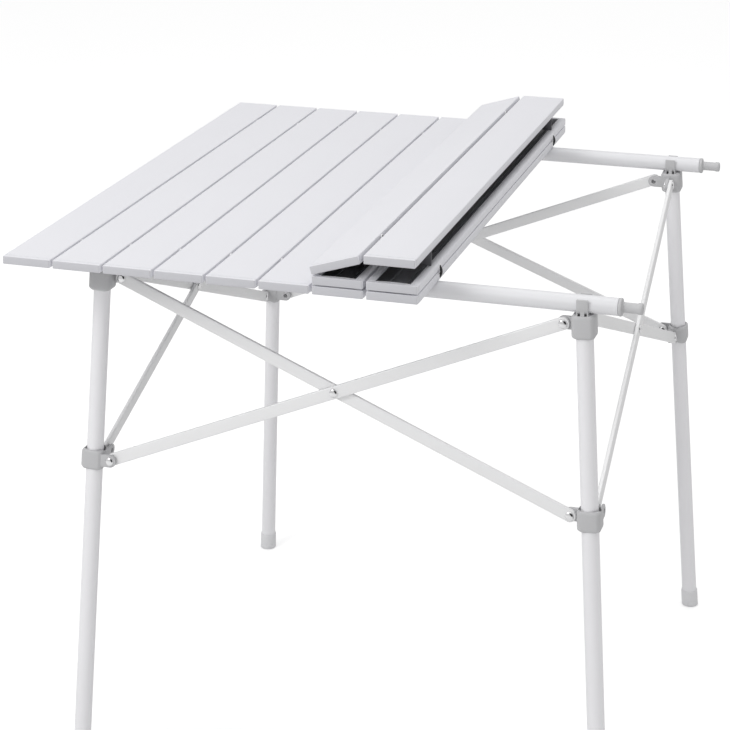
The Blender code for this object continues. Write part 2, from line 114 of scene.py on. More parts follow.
CLIP_RIB_HALF, CLIP_EDGE_HALF, CLIP_POCKET_X, CLIP_LENGTH_HALF = 0.0021, 0.0006, 0.0036, 0.0108
POCKET_HALF, POCKET_CORNER, POCKET_DEEP, RIB_ROOT, RIB_TOP = 0.0014, 0.0008, 0.0032, 0.0034, 0.004
CRADLE_ROOM, CRADLE_PLAY = 0.0002, 0.0010
WASHER_IN, WASHER_OUT, WASHER_T = 0.0030, 0.0064, 0.0010
DOME = ((1.0, 0.0), (1.0, 0.18), (0.93, 0.45), (0.76, 0.74), (0.48, 0.93), (0, 1.0))
SOFT_CAP, SOFT_BRACKET, SOFT_FOOT = 0.0007, 0.0005, 0.0004
SOFT_LUG, SOFT_CRADLE, SOFT_BAR = 0.0007, 0.0005, 0.0009

# The hair's breadth between pieces that touch, and how far a cutting shape reaches beyond what it cuts
TOUCH, BEYOND = 0.0001, 0.02

# Angles between faces, in degrees, above which the edge is left sharp
SHARP, SHARP_SLAT, SHARP_TURNED, SHARP_CORD = 38, 50, 50, 60

# The light, and the viewpoint of the photograph: its place, its angles in radians, its lens
WORLD_SIDE, WORLD_TOP = 0.70, 0.66
LAMPS = (("Key", (-1.35, -1.95, 2.2), 1.2, 25), ("Top", (0.1, 0.3, 2.8), 2.0, 13))
LAMP_TARGET = Vector((0, 0, 0.4))
# Painted reflection: the direction in which the bright metal's colour is painted dark
PAINTED_REFLECTION_AIM = (0.45, -0.85, 0.25)
FLOOR_SIZE, FLOOR_Z, FLOOR_LIFT = 60, -0.0005, 0.42
CAMERA_PLACE, CAMERA_TURN, CAMERA_DOWN = (0.68662 + FRAME_X, -2.26665, 1.33927), -0.27846, 0.12658
LENS, SENSOR, SHIFT_X, SHIFT_Y, SHIFT_REACH = 100.4261918, 36, -0.1026849, -0.7020411, 0.006

CORNERS = {"front_left": (-1, -1), "front_right": (1, -1), "rear_right": (1, 1), "rear_left": (-1, 1)}
SIDES = {"front": ("front_left", "front_right"), "right": ("front_right", "rear_right"),
         "rear": ("rear_right", "rear_left"), "left": ("rear_left", "front_left")}
LEG_BODY = {"front_left": "frame", "front_right": "leg_front_right",
            "rear_right": "leg_rear_right", "rear_left": "leg_rear_left"}


# ---- materials -------------------------------------------------------------------------------

# Shared by all the surfaces: fine grain, broad variation, and how far each shows
FINE_DETAIL, FINE_ROUGHNESS, BROAD_SCALE, BROAD_DETAIL = 5, 0.65, 9, 3
SPECK_SHARE, ROUGHNESS_SPREAD, GRAIN_HEIGHT, COAT_ROUGHNESS = 0.6, 0.07, 0.0004, 0.2

# The cord's braid, and the painted reflection in the bright metal: where it starts and ends, and how dark it
# is
BRAID_SCALE, BRAID_STRENGTH, BRAID_HEIGHT = 420, 0.6, 0.0003
PAINTED_REFLECTION_START, PAINTED_REFLECTION_END, PAINTED_REFLECTION_DARKNESS = 0.80, 0.92, 0.03

# The stretch of the grain on metal that is drawn along an axis
DRAWN_X, DRAWN_Y, DRAWN_LEG, DRAWN_RAIL = (0.06, 1, 1), (1, 0.06, 1), (1, 1, 0.05), (0.05, 1, 1)


def feed(tree, source, socket):
    """Links an output to an input, or sets the input to a value."""
    if isinstance(source, bpy.types.NodeSocket):
        tree.links.new(source, socket)
    else:
        socket.default_value = source


def noise(tree, place, scale, detail, roughness=0.5):
    node = tree.nodes.new("ShaderNodeTexNoise")
    feed(tree, place, node.inputs["Vector"])
    feed(tree, scale, node.inputs["Scale"])
    feed(tree, detail, node.inputs["Detail"])
    feed(tree, roughness, node.inputs["Roughness"])
    return node.outputs["Fac"]


def remap(tree, source, low, high, start=0.0, stop=1.0):
    """Maps start to stop of source to low to high."""
    node = tree.nodes.new("ShaderNodeMapRange")
    for name, value in (("Value", source), ("From Min", start), ("From Max", stop),
                        ("To Min", low), ("To Max", high)):
        feed(tree, value, node.inputs[name])
    return node.outputs["Result"]


def product(tree, first, second):
    node = tree.nodes.new("ShaderNodeMath")
    node.operation = "MULTIPLY"
    feed(tree, first, node.inputs[0])
    feed(tree, second, node.inputs[1])
    return node.outputs["Value"]


def scaled(tree, colour, factor):
    node = tree.nodes.new("ShaderNodeVectorMath")
    node.operation = "SCALE"
    feed(tree, colour, node.inputs[0])
    feed(tree, factor, node.inputs["Scale"])
    return node.outputs["Vector"]


def relief(tree, height, strength, distance):
    node = tree.nodes.new("ShaderNodeBump")
    feed(tree, height, node.inputs["Height"])
    feed(tree, strength, node.inputs["Strength"])
    feed(tree, distance, node.inputs["Distance"])
    return node


def node_material(name, colour, metallic, roughness, grain, stretch=(1, 1, 1), bump=0.05, shade=0.04,
                  coat=0.0):
    """A surface with fine grain in its relief, its roughness and, faintly, its colour."""
    mat = bpy.data.materials.new(name)
    mat.use_nodes = True
    mat.diffuse_color = (*colour, 1)
    tree = mat.node_tree
    place = tree.nodes.new("ShaderNodeTexCoord").outputs["Object"]
    mapping = tree.nodes.new("ShaderNodeMapping")
    feed(tree, place, mapping.inputs["Vector"])
    feed(tree, stretch, mapping.inputs["Scale"])
    fine = noise(tree, mapping.outputs["Vector"], grain, FINE_DETAIL, FINE_ROUGHNESS)
    broad = noise(tree, place, BROAD_SCALE, BROAD_DETAIL)
    tint = remap(tree, broad, 1 - shade, 1 + shade)
    speck = remap(tree, fine, 1 - shade * SPECK_SHARE, 1 + shade * SPECK_SHARE)
    smoothest = max(roughness - ROUGHNESS_SPREAD, 0.02)
    surface = {"Base Color": scaled(tree, colour, product(tree, tint, speck)),
               "Metallic": metallic,
               "Roughness": remap(tree, fine, smoothest, roughness + ROUGHNESS_SPREAD),
               "Coat Weight": coat,
               "Coat Roughness": COAT_ROUGHNESS,
               "Normal": relief(tree, fine, bump, GRAIN_HEIGHT).outputs["Normal"]}
    for socket, source in surface.items():
        feed(tree, source, tree.nodes["Principled BSDF"].inputs[socket])
    return mat


def cord_material():
    """Black elastic cord with a braided sleeve."""
    mat = node_material("Braided black cord", (0.018, 0.018, 0.020), 0.0, 0.6, 900, bump=0.2, shade=0.2)
    tree = mat.node_tree
    wave = tree.nodes.new("ShaderNodeTexWave")
    wave.bands_direction = "DIAGONAL"
    feed(tree, BRAID_SCALE, wave.inputs["Scale"])
    feed(tree, tree.nodes["Texture Coordinate"].outputs["Object"], wave.inputs["Vector"])
    braid = relief(tree, wave.outputs["Fac"], BRAID_STRENGTH, BRAID_HEIGHT)
    feed(tree, tree.nodes["Bump"].outputs["Normal"], braid.inputs["Normal"])
    feed(tree, braid.outputs["Normal"], tree.nodes["Principled BSDF"].inputs["Normal"])
    return mat


def painted_reflection_material():
    """Polished metal with a painted reflection: one dark patch, to the front and right, darkens its colour.
    """
    mat = node_material("Bright rivet", (0.90, 0.90, 0.91), 1.0, 0.11, 500, bump=0.02, shade=0.01)
    tree = mat.node_tree
    colour = tree.nodes["Principled BSDF"].inputs["Base Color"]
    plain = colour.links[0].from_socket
    towards = tree.nodes.new("ShaderNodeVectorMath")
    towards.operation = "DOT_PRODUCT"
    feed(tree, tree.nodes["Texture Coordinate"].outputs["Reflection"], towards.inputs[0])
    feed(tree, Vector(PAINTED_REFLECTION_AIM).normalized(), towards.inputs[1])
    # Painted reflection: the base colour darkens where the reflection points towards that direction
    painted_reflection = remap(tree, towards.outputs["Value"], 1.0, PAINTED_REFLECTION_DARKNESS, PAINTED_REFLECTION_START, PAINTED_REFLECTION_END)
    feed(tree, scaled(tree, plain, painted_reflection), colour)
    return mat


# Name, colour, metallic, roughness and grain, then stretch, bump, shade and coat
SLAT = node_material("Coated slat", (0.79, 0.79, 0.825), 0.10, 0.50, 700, DRAWN_Y, 0.05, 0.012, 0.05)
# Near-black painted shade for the faces inside the slat's channel
PAINTED_SHADE_INSIDE = node_material("Slat inside", (0.18, 0.18, 0.195), 0.1, 0.60, 500, DRAWN_Y, 0.10, 0.25)
# Painted shade: the darker colour of the slats' end faces, which face along the slat
END_FACE_PAINTED_SHADE = node_material("Slat end cap", (0.58, 0.58, 0.61), 0.0, 0.42, 900, bump=0.10, shade=0.02)
# Near-black painted shade: the brackets are darkened to read as the shadow under the end slats
BRACKET_PAINTED_SHADE = node_material("Bracket nylon in painted shade", (0.10, 0.10, 0.11), 0.0, 0.55, 1400, bump=0.2, shade=0.05)
TUBE = node_material("Satin tube", (0.88, 0.875, 0.895), 0.15, 0.40, 800, DRAWN_LEG, 0.05, 0.02)
RAIL = node_material("Satin rail", (0.78, 0.78, 0.80), 0.10, 0.48, 800, DRAWN_RAIL, 0.05, 0.02)
BAR_X = node_material("Satin bar along X", (0.87, 0.87, 0.875), 0.15, 0.42, 800, DRAWN_X, 0.06, 0.02)
BAR_Y = node_material("Satin bar along Y", (0.87, 0.87, 0.875), 0.15, 0.42, 800, DRAWN_Y, 0.06, 0.02)
PLASTIC = node_material("Moulded grey nylon", (0.53, 0.53, 0.54), 0.0, 0.50, 1400, bump=0.25, shade=0.03)
FOOT = node_material("Moulded foot", (0.76, 0.76, 0.775), 0.0, 0.55, 1200, bump=0.25, shade=0.03)
PLUG = node_material("Rail plug nylon", (0.54, 0.54, 0.55), 0.0, 0.45, 1400, bump=0.2, shade=0.03)
CHROME = painted_reflection_material()
EYELET = node_material("Pale eyelet", (0.86, 0.86, 0.88), 0.1, 0.3, 900, bump=0.05, shade=0.02)
CORD = cord_material()


# ---- mesh helpers ----------------------------------------------------------------------------

def mesh_object(name, verts, faces, mat, sharp=SHARP):
    name = name.replace(" ", "_")
    mesh = bpy.data.meshes.new(name)
    mesh.from_pydata([tuple(v) for v in verts], [], faces)
    mesh.materials.append(mat)
    obj = bpy.data.objects.new(name, mesh)
    bpy.context.scene.collection.objects.link(obj)
    smooth(obj, sharp)
    return obj


def smooth(obj, sharp=SHARP):
    """Smooth shading, with edges sharper than so many degrees left sharp."""
    obj.data.polygons.foreach_set("use_smooth", [True] * len(obj.data.polygons))
    obj.data.set_sharp_from_angle(angle=math.radians(sharp))
    obj.data.update()


def prism(name, outline, place, low, high, mat):
    """An anticlockwise outline in the first two axes of place, extruded along the third."""
    return loft(name, [(low, outline), (high, outline)], place, mat)


def loft(name, levels, place, mat):
    """A closed skin over anticlockwise outlines of equal length, each at its own height."""
    count, last = len(levels[0][1]), len(levels) - 1
    verts = [place @ Vector((x, y, z)) for z, outline in levels for x, y in outline]
    faces = [tuple(reversed(range(count))), tuple(range(last * count, (last + 1) * count))]
    for level in range(last):
        low, high = level * count, (level + 1) * count
        faces += [(low + i, low + (i + 1) % count, high + (i + 1) % count, high + i) for i in range(count)]
    return mesh_object(name, verts, faces, mat)


def circle(radius, height, segments):
    turns = [2 * math.pi * i / segments for i in range(segments)]
    return [Vector((radius * math.cos(a), radius * math.sin(a), height)) for a in turns]


def lathe(name, profile, place, mat, segments=48, sharp=SHARP):
    """A closed turned piece about the third axis of place. The profile is (radius, height), low to high."""
    verts, faces, rings = [], [], []
    for radius, height in profile:
        points = circle(radius, height, segments)[:1 if radius == 0 else segments]
        rings.append(list(range(len(verts), len(verts) + len(points))))
        verts += [place @ point for point in points]
    for low, high in zip(rings, rings[1:]):
        for i in range(segments):
            j = (i + 1) % segments
            if len(low) == 1:
                faces.append((low[0], high[j], high[i]))
            elif len(high) == 1:
                faces.append((low[i], low[j], high[0]))
            else:
                faces.append((low[i], low[j], high[j], high[i]))
    if len(rings[0]) > 1:
        faces.append(tuple(reversed(rings[0])))
    if len(rings[-1]) > 1:
        faces.append(tuple(rings[-1]))
    return mesh_object(name, verts, faces, mat, sharp)


def lathe_ring(name, profile, place, mat, segments=24):
    """A turned ring about the third axis of place. Its profile is a closed, anticlockwise outline."""
    verts = [place @ point for radius, height in profile for point in circle(radius, height, segments)]
    faces = []
    for ring in range(len(profile)):
        here, there = ring * segments, (ring + 1) % len(profile) * segments
        faces += [(here + i, here + (i + 1) % segments, there + (i + 1) % segments, there + i)
                  for i in range(segments)]
    return mesh_object(name, verts, faces, mat)


def pipe(name, outer, inner, low, high, place, mat, segments=64, lip=0.0003):
    """A hollow tube with slightly rounded ends."""
    profile = [(inner, low), (outer - lip, low), (outer, low + lip),
               (outer, high - lip), (outer - lip, high), (inner, high)]
    return lathe_ring(name, profile, place, mat, segments)


def soften(obj, width, segments=3, angle=35):
    """Rounds the edges that are sharper than so many degrees."""
    modifier = obj.modifiers.new("Edges", "BEVEL")
    modifier.width = width
    modifier.segments = segments
    modifier.limit_method = "ANGLE"
    modifier.angle_limit = math.radians(angle)
    bake(obj)


def bake(obj):
    """Applies the modifiers, so the mesh is final."""
    bpy.context.view_layer.update()
    graph = bpy.context.evaluated_depsgraph_get()
    mesh = bpy.data.meshes.new_from_object(obj.evaluated_get(graph))
    obj.modifiers.clear()
    obj.data = mesh
    smooth(obj)


def combine(obj, other, operation):
    """Adds the other object to this one, or cuts it out of this one, and deletes the other object."""
    modifier = obj.modifiers.new("Cut", "BOOLEAN")
    modifier.operation = operation
    modifier.solver = "EXACT"
    modifier.object = other
    bake(obj)
    bpy.data.objects.remove(other, do_unlink=True)


def frame_of(origin, third, first):
    """Axes at origin: the third along third, the first as near to first as it can be."""
    third, first = Vector(third).normalized(), Vector(first)
    first = (first - third * first.dot(third)).normalized()
    place = Matrix((first, third.cross(first), third)).transposed().to_4x4()
    place.translation = Vector(origin)
    return place


def rectangle(half_x, half_y, cx=0.0, cy=0.0):
    return [(cx - half_x, cy - half_y), (cx + half_x, cy - half_y),
            (cx + half_x, cy + half_y), (cx - half_x, cy + half_y)]


def rounded(half_x, half_y, radius, cx, cy, steps=5):
    """A rectangle with rounded corners."""
    points = []
    for sx, sy, turn in ((1, -1, -90), (1, 1, 0), (-1, 1, 90), (-1, -1, 180)):
        x, y = cx + sx * (half_x - radius), cy + sy * (half_y - radius)
        for i in range(steps + 1):
            a = math.radians(turn + 90 * i / steps)
            points.append((x + radius * math.cos(a), y + radius * math.sin(a)))
    return points


def stadium(start, end, radius, steps=14):
    """Two half circles and the straights between them."""
    start, end = Vector(start), Vector(end)
    heading = math.atan2(end.y - start.y, end.x - start.x)
    points = []
    for centre, turn in ((end, -math.pi / 2), (start, math.pi / 2)):
        for i in range(steps + 1):
            a = heading + turn + math.pi * i / steps
            points.append((centre.x + radius * math.cos(a), centre.y + radius * math.sin(a)))
    return points


def cord_tube(name, points, radius, mat, sides=12):
    """A round cord along a path."""
    points = [Vector(p) for p in points]
    verts, faces, rings = [], [], []
    across = (points[1] - points[0]).normalized().orthogonal().normalized()
    for i, p in enumerate(points):
        ahead = (points[min(i + 1, len(points) - 1)] - points[max(i - 1, 0)]).normalized()
        across = (across - ahead * across.dot(ahead)).normalized()
        up = ahead.cross(across)
        rings.append(len(verts))
        for k in range(sides):
            a = 2 * math.pi * k / sides
            verts.append(p + (across * math.cos(a) + up * math.sin(a)) * radius)
    for low, high in zip(rings, rings[1:]):
        faces += [(low + k, low + (k + 1) % sides, high + (k + 1) % sides, high + k) for k in range(sides)]
    faces.append(tuple(reversed(range(rings[0], rings[0] + sides))))
    faces.append(tuple(range(rings[-1], rings[-1] + sides)))
    return mesh_object(name, verts, faces, mat, SHARP_CORD)


# ---- where things are ------------------------------------------------------------------------

def leg_axis(corner, z):
    """The point of a leg's axis at a height."""
    sx, sy = CORNERS[corner]
    offset = LEG_OFFSET + SPLAY * (LEG_OFFSET_Z - z)
    return Vector((FRAME_X + sx * offset, sy * offset, z))


def leg_frame(corner, z):
    """Axes on a leg at a height, the third axis up along the leg."""
    sx, sy = CORNERS[corner]
    return frame_of(leg_axis(corner, z), (-sx * SPLAY, -sy * SPLAY, 1), (1, 0, 0))


def along(z, from_z):
    """The length along a leg between two heights."""
    return (z - from_z) * math.sqrt(1 + 2 * SPLAY ** 2)


def side_normal(side):
    """The outward direction of a side of the leg frame, square to its two leaning legs."""
    a, b = (Vector(CORNERS[c]) for c in SIDES[side])
    out = (a + b) / 2
    return Vector((out.x, out.y, SPLAY)).normalized()


def side_right(side):
    """Level direction from a side's first corner to its second."""
    a, b = (Vector(CORNERS[c]) for c in SIDES[side])
    return Vector(((b - a).x, (b - a).y, 0)).normalized()


def side_frame(side):
    """Axes in a side's plane, between its lower pivots, the third axis outward."""
    middle = (leg_axis(SIDES[side][0], LOW_PIVOT_Z) + leg_axis(SIDES[side][1], LOW_PIVOT_Z)) / 2
    return frame_of(middle, side_normal(side), side_right(side))


def pivot(side, corner, z):
    """Where a brace is riveted, a little inboard of the leg's axis."""
    return leg_axis(corner, z) + side_right(side) * (INBOARD if corner == SIDES[side][0] else -INBOARD)


def in_side(side, point):
    local = side_frame(side).inverted() @ point
    return local.x, local.y


def bar_ends(side, bar):
    """The upper and lower pivots of a brace bar."""
    left, right = SIDES[side]
    if bar == "inner":
        return pivot(side, left, TOP_PIVOT_Z), pivot(side, right, LOW_PIVOT_Z)
    return pivot(side, right, TOP_PIVOT_Z), pivot(side, left, LOW_PIVOT_Z)


def crossing(side):
    """Where the two bars of a side cross."""
    a, b = (Vector(in_side(side, p)) for p in bar_ends(side, "inner"))
    c, d = (Vector(in_side(side, p)) for p in bar_ends(side, "outer"))
    r, s = b - a, d - c
    t = ((c - a).x * s.y - (c - a).y * s.x) / (r.x * s.y - r.y * s.x)
    return side_frame(side) @ Vector((*(a + r * t), 0))


def bar_layer(bar):
    """(inner face, outer face) of a bar."""
    return (BAR_GAP, BAR_GAP + BAR_T) if bar == "outer" else (-BAR_GAP - BAR_T, -BAR_GAP)


def is_loose(side, corner, level):
    """The pivots that the joint tree leaves open."""
    if level == "top":
        return (side, corner) == ("rear", "rear_right")
    return side != "front" and (side, corner) not in (("left", "rear_left"), ("right", "rear_right"))


def lug_layer(side, corner, level):
    """(inner face, outer face) of a bar end's lug: behind its bar, or in front of it at the low left."""
    left = corner == SIDES[side][0]
    low, high = bar_layer("inner" if left == (level == "top") else "outer")
    loose = is_loose(side, corner, level)
    gap = (LOOSE_TOP if level == "top" else LOOSE) if loose else CLEAR
    thick = THIN_LUG if loose and level == "low" else LUG_T
    if level == "low" and left:
        return high + gap, high + gap + thick
    return low - gap - thick, low - gap


# ---- slats -----------------------------------------------------------------------------------

def turn_about(x, z, angle):
    """A turn about a line along Y."""
    centre = Matrix.Translation((x, 0, z))
    return centre @ Matrix.Rotation(-angle, 4, "Y") @ centre.inverted()


# The three lines that the stack is folded on: slats 8-9, slats 10-11 and slats 11-12
FOLD_RIGHT = (LEFT_X + 8 * PITCH - GAP / 2, TOP_Z + LAYER_GAP / 2)
FOLD_LEFT = (2 * FOLD_RIGHT[0] - (LEFT_X + 10 * PITCH - GAP / 2),
             2 * FOLD_RIGHT[1] - (TOP_Z - THICK - FOLD_CLEARANCE))
FOLD_LIFTED = (FOLD_LEFT[0] + PITCH * math.cos(TILT), FOLD_LEFT[1] + PITCH * math.sin(TILT))


def slat_place(number):
    """A slat's axes: origin at the middle of its top face, first axis across it, third axis out of it."""
    place = Matrix.Translation((LEFT_X + PITCH * (number - 1) + WIDTH / 2, 0, TOP_Z))
    if number > 8:
        place = turn_about(*FOLD_RIGHT, math.pi) @ place
    if number > 10:
        place = turn_about(*FOLD_LEFT, TILT - math.pi) @ place
    if number > 11:
        place = turn_about(*FOLD_LIFTED, -TILT) @ place
    return place


def slat_body(number):
    """Slats 7 and 8 share a body, and so do 9 and 10."""
    if number in (7, 8):
        return "slats_07_08"
    if number in (9, 10):
        return "slats_09_10"
    return f"slat_{number:02d}"


def channel_outline():
    """The slat's section: a flat top with soft shoulders, side walls, inturned feet and two ribs inside."""
    half, wall, r = WIDTH / 2, SLAT_WALL, SHOULDER_R
    flange = half - FLANGE_IN
    turns = [math.radians(degrees) for degrees in (0, 22, 45, 68, 90)]
    right = [(half - r + r * math.sin(a), -r + r * math.cos(a)) for a in turns]
    right += [(half, -THICK + SLAT_CHAMFER), (half - SLAT_CHAMFER, -THICK)]
    right += [(flange + SLAT_CHAMFER / 2, -THICK), (flange, -THICK + SLAT_CHAMFER / 2)]
    right += [(flange, -THICK + FLANGE_T), (half - wall, -THICK + FLANGE_T), (half - wall, -wall)]
    right += [(RIB_FAR, -wall), (RIB_FAR, -wall - RIB_DEEP), (RIB_NEAR, -wall - RIB_DEEP), (RIB_NEAR, -wall)]
    return right + [(-x, z) for x, z in reversed(right)]


def is_inside(start, end):
    """Whether a side of the section lies behind the outer skin."""
    skin, sole = 0.001, 0.0001
    return all(abs(x) < WIDTH / 2 - skin and -THICK + sole < z < -skin for x, z in (start, end))


def make_slat(number):
    """A slat's channel, with near-black painted shade inside, with its two end caps and its eyelets."""
    place, body = slat_place(number), slat_body(number)
    end = LENGTH / 2 - CAP_LENGTH
    outline = channel_outline()
    count = len(outline)
    verts = [place @ Vector((x, y, z)) for y in (-end, end) for x, z in outline]
    faces = [tuple(range(count)), tuple(reversed(range(count, 2 * count)))]
    faces += [((i + 1) % count, i, count + i, count + (i + 1) % count) for i in range(count)]
    channel = mesh_object(f"Slat {number} channel", verts, faces, SLAT, SHARP_SLAT)
    fix_normals(channel)
    channel.data.materials.append(PAINTED_SHADE_INSIDE)
    # The faces inside the channel take the near-black painted shade
    for face in channel.data.polygons[2:]:
        if is_inside(*(outline[i % count] for i in (face.index - 2, face.index - 1))):
            face.material_index = 1
    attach(channel, body)
    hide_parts(f"slat_{number:02d}")
    for sign in (-1, 1):
        make_cap(number, place, body, sign, end)
    for sign in (-1, 1):
        for side in (-1, 1):
            make_eyelet(number, place, body, sign * CORD_Y, side)


def make_cap(number, place, body, sign, end):
    """A moulded end cap: rounded outside corners, a thin seam to the channel, a ledge with a bowed edge. Its
    end faces are painted darker as shade.
    """
    half, outer, r = WIDTH / 2 - CAP_INSET, LENGTH / 2, CAP_CORNER
    turns = [math.radians(degrees) for degrees in range(0, 91, 15)]
    ring = [(-half, end + CAP_SEAM), (half, end + CAP_SEAM)]
    ring += [(half - r + r * math.cos(a), outer - r + r * math.sin(a)) for a in turns]
    ring += [(-half + r - r * math.sin(a), outer - r + r * math.cos(a)) for a in turns]
    shape, low, high = mirrored(ring, sign), -THICK + CAP_INSET, -CAP_DROP
    piece = prism(f"Slat {number} cap {sign}", shape, place, low, high, SLAT)
    fix_normals(piece)
    soften(piece, SOFT_CAP, angle=55)
    reach = WIDTH / 2 - FLANGE_IN - LEDGE_GAP
    across = [reach * i / LEDGE_STEPS for i in range(LEDGE_STEPS, -LEDGE_STEPS - 1, -1)]
    ledge = [(x, end - LEDGE_GAP - LEDGE_BOW * (1 - (x / reach) ** 2)) for x in across]
    ledge = mirrored(ledge + [(-reach, end + LEDGE_ROOT), (reach, end + LEDGE_ROOT)], sign)
    shelf = prism("Ledge", ledge, place, -THICK + LEDGE_LOW, -THICK + LEDGE_HIGH, SLAT)
    combine(piece, shelf, "UNION")
    piece.data.materials.append(END_FACE_PAINTED_SHADE)
    # Faces that point along the slat take the darker painted shade
    for face in piece.data.polygons:
        face.material_index = 1 if face.normal.y * sign > PAINTED_SHADE_FACING else 0
    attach(piece, body)


def mirrored(outline, sign):
    """The outline for the far end, or for the near end its mirror image, turned round the same way."""
    if sign > 0:
        return outline
    return [(x, -y) for x, y in reversed(outline)]


def make_eyelet(number, place, body, y, side):
    """A pale ferrule in the slat's side wall, where the cord leaves it. The top's outer edges have none."""
    if (number, side) in ((1, -1), (12, 1)):
        return
    at = place @ frame_of((side * (WIDTH / 2 - EYELET_IN), y, CORD_LEVEL), (side, 0, 0), (0, 1, 0))
    ring = lathe_ring(f"Eyelet {number} {side} {y:.2f}", EYELET_PROFILE, at, EYELET)
    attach(ring, body)


def fix_normals(obj):
    mesh = bmesh.new()
    mesh.from_mesh(obj.data)
    bmesh.ops.recalc_face_normals(mesh, faces=mesh.faces)
    mesh.to_mesh(obj.data)
    mesh.free()
    smooth(obj, SHARP_SLAT)


def make_cord(number, y):
    """The cord between a slat and the next, out of one ferrule and into the other. It bows at a fold."""
    a, b = slat_place(number), slat_place(number + 1)
    start, leave = (a @ Vector((WIDTH / 2 + out, y, CORD_LEVEL)) for out in (-CORD_INSIDE, CORD_OUTSIDE))
    enter, end = (b @ Vector((-WIDTH / 2 - out, y, CORD_LEVEL)) for out in (CORD_OUTSIDE, -CORD_INSIDE))
    bulge, steps = CORD_BULGE.get(number, (0.0, (0.5,)))
    middle = [leave.lerp(enter, t) + Vector((bulge * math.sin(math.pi * t), 0, 0)) for t in steps]
    path = [start, leave, *middle, enter, end]
    cord = cord_tube(f"Cord {number} {'near' if y < 0 else 'far'}", path, CORD_R, CORD)
    first, second = slat_body(number), slat_body(number + 1)
    if first == second:
        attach(cord, first)
    else:
        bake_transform(cord)


def make_bracket(number, rear):
    """The plate and pad that hold an end slat on its rail pin."""
    place, sign = slat_place(number), 1 if rear else -1
    node = f"slat_bracket_{number:02d}_{'rear' if rear else 'front'}"
    plate_y, pad_y = sign * (RAIL_Y + PLATE_OUT), sign * (RAIL_Y - PAD_IN)
    pin_x = (FLANGE_END + PIN_END) / 2 - (6 * PITCH - WIDTH / 2)
    pad_x = pin_x + GAP if number == 12 else -pin_x
    plate_shape = rectangle(PLATE_HALF_X, PLATE_HALF_T, 0, plate_y)
    pad_shape = rectangle(PAD_HALF, abs(plate_y - pad_y) / 2, pad_x, (plate_y + pad_y) / 2)
    top = -THICK - TOUCH
    # The bracket takes the near-black painted shade
    plate = prism(node + " visual", plate_shape, place, -THICK - PLATE_DEEP, top, BRACKET_PAINTED_SHADE)
    pad = prism("Pad", pad_shape, place, RAIL_Z + PIN_R + CLEAR - TOP_Z, top, BRACKET_PAINTED_SHADE)
    combine(plate, pad, "UNION")
    soften(plate, SOFT_BRACKET, segments=2)
    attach(plate, slat_body(number))
    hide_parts(node)


# ---- rails and legs --------------------------------------------------------------------------

def plug_profile():
    """The rail plug from inside the rail to the tip of its pin: body, flange, neck, pin with a bead."""
    start, flange, pin = RAIL_HALF + CLEAR, FLANGE_END, PIN_END
    return [(0.0076, RAIL_HALF - 0.014), (0.0076, start),
            (0.0090, start), (0.0093, start + 0.0002), (0.0095, start + 0.0007), (0.0095, flange - 0.0010),
            (0.0092, flange - 0.0003), (0.0087, flange), (0.0064, flange), (0.0057, flange + 0.0008),
            (0.0054, flange + 0.002), (0.0054, pin - 0.0058), (0.0057, pin - 0.0052), (PIN_R, pin - 0.0044),
            (PIN_R, pin - 0.0014), (0.0056, pin - 0.0005), (0.0048, pin), (0.0020, pin),
            (0.0016, pin - 0.0010), (0, pin - 0.0012)]


def make_rail(rear):
    """A rail tube with its two plugs."""
    name, body, y = ("rear", "leg_rear_left", RAIL_Y) if rear else ("front", "frame", -RAIL_Y)
    at = frame_of((FRAME_X, y, RAIL_Z), (1, 0, 0), (0, 0, 1))
    tube = pipe(f"rail_{name} visual", RAIL_R, RAIL_R - RAIL_WALL, -RAIL_HALF, RAIL_HALF, at, RAIL)
    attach(tube, body)
    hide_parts(f"rail_{name}")
    for end, out in (("left", -1), ("right", 1)):
        node = f"rail_plug_{name}_{end}"
        at = frame_of((FRAME_X, y, RAIL_Z), (out, 0, 0), (0, 0, 1))
        plug = lathe(node + " visual", plug_profile(), at, PLUG, sharp=SHARP_TURNED)
        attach(plug, body)
        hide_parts(node)


def foot_profile(rim):
    """The foot cap from below the floor up to its rim, with a groove just above the floor."""
    r, groove = FOOT_R, FOOT_R - 0.0003
    return [(r, -BEYOND), (r, 0.0002), (groove, 0.0005), (groove, 0.0011), (r, 0.0014), (r, rim - 0.0022),
            (r - 0.0002, rim - 0.0010), (r - 0.0006, rim - 0.0002), (r - 0.0009, rim)]


def make_leg(corner):
    """A leg tube, open at its top, with its foot cap cut level with the floor."""
    body, place = LEG_BODY[corner], leg_frame(corner, LEG_LOW)
    top, rim = along(BLOCK_HIGH - 0.006, LEG_LOW), along(FOOT_HIGH, LEG_LOW)
    tube = pipe(f"Leg tube {corner}", TUBE_R, TUBE_R - TUBE_WALL, TUBE_START, top, place, TUBE)
    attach(tube, body)
    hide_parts(f"leg_tube_{corner}")
    foot = lathe(f"Foot {corner}", foot_profile(rim), place, FOOT, sharp=SHARP_TURNED)
    bore_r = TUBE_R + SOCKET_ROOM
    combine(foot, lathe("Bore", [(bore_r, FOOT_SOLE), (bore_r, rim + BEYOND)], place, FOOT), "DIFFERENCE")
    x, y = leg_axis(corner, 0).xy
    below = prism("Floor", rectangle(BEYOND, BEYOND, x, y), Matrix.Identity(4), -2 * BEYOND, 0, FOOT)
    combine(foot, below, "DIFFERENCE")
    soften(foot, SOFT_FOOT, segments=2, angle=60)
    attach(foot, body)
    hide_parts(f"foot_{corner}")


